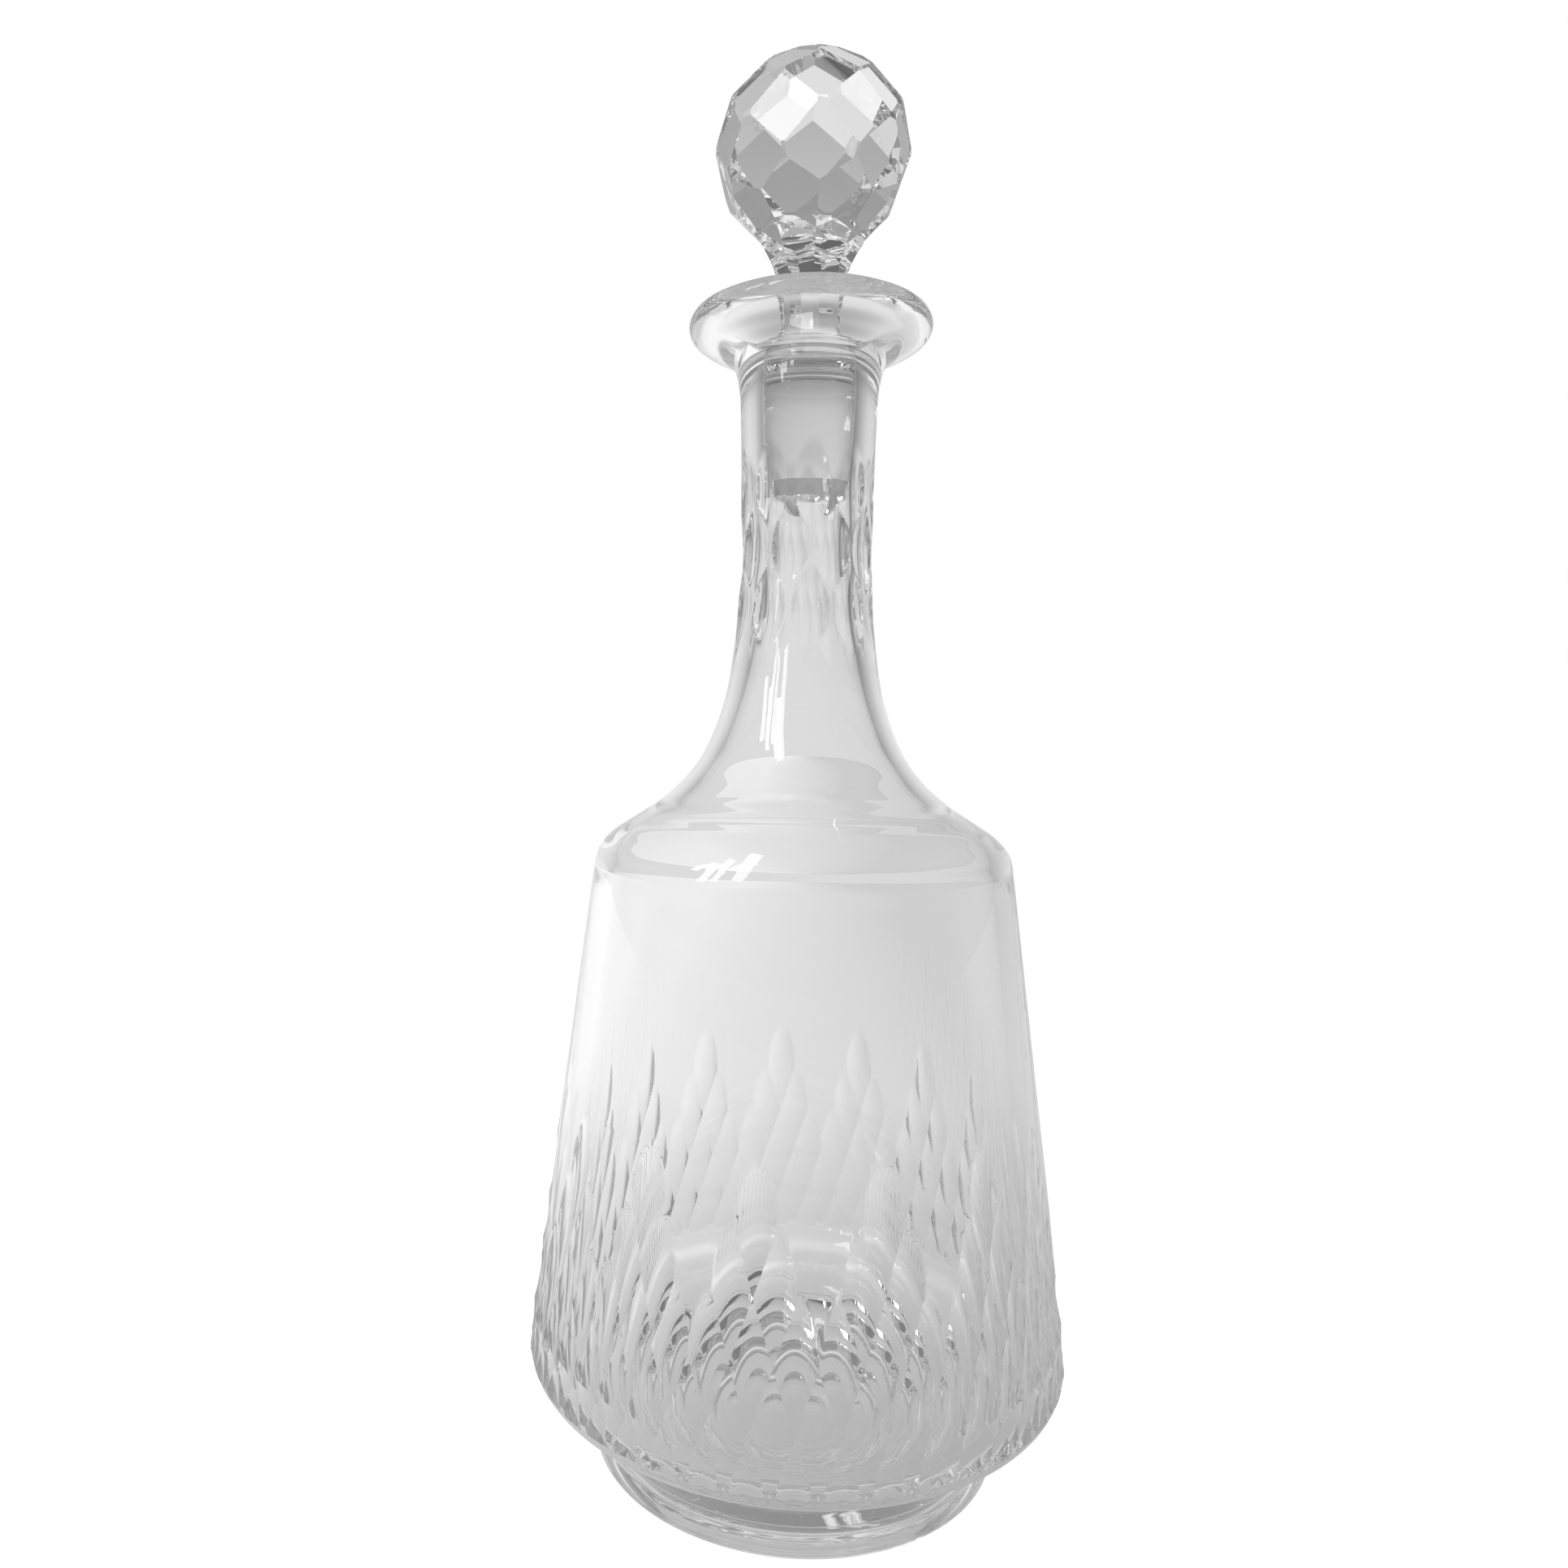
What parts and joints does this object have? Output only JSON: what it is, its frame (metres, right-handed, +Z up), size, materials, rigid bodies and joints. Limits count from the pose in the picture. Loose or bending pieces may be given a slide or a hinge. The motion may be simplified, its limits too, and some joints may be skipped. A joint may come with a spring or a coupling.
{
  "type": "cut crystal decanter",
  "caption": "Tall tapered crystal wine decanter on a low round foot, with a flanged lip, olive cuts on neck and body, and a facet-cut ball stopper that lifts out.",
  "frame": {"origin": "centre of the flat face under the foot, which the decanter stands on", "axes": "+Z up along the axis that the decanter and its stopper share; -Y faces the picture's viewer"},
  "size_m": [0.1208, 0.1208, 0.3118],
  "materials": {
    "crystal": "clear lead crystal, fire polished with polished cuts"
  },
  "bodies": {
    "decanter": {"decanter_body": "crystal"},
    "stopper": {"stopper": "crystal"}
  },
  "joints": [
    {"name": "stopper_lift", "type": "slide", "parent": "decanter", "child": "stopper", "axis": [0, 0, 1], "range_m": [0, 0.06]}
  ]
}
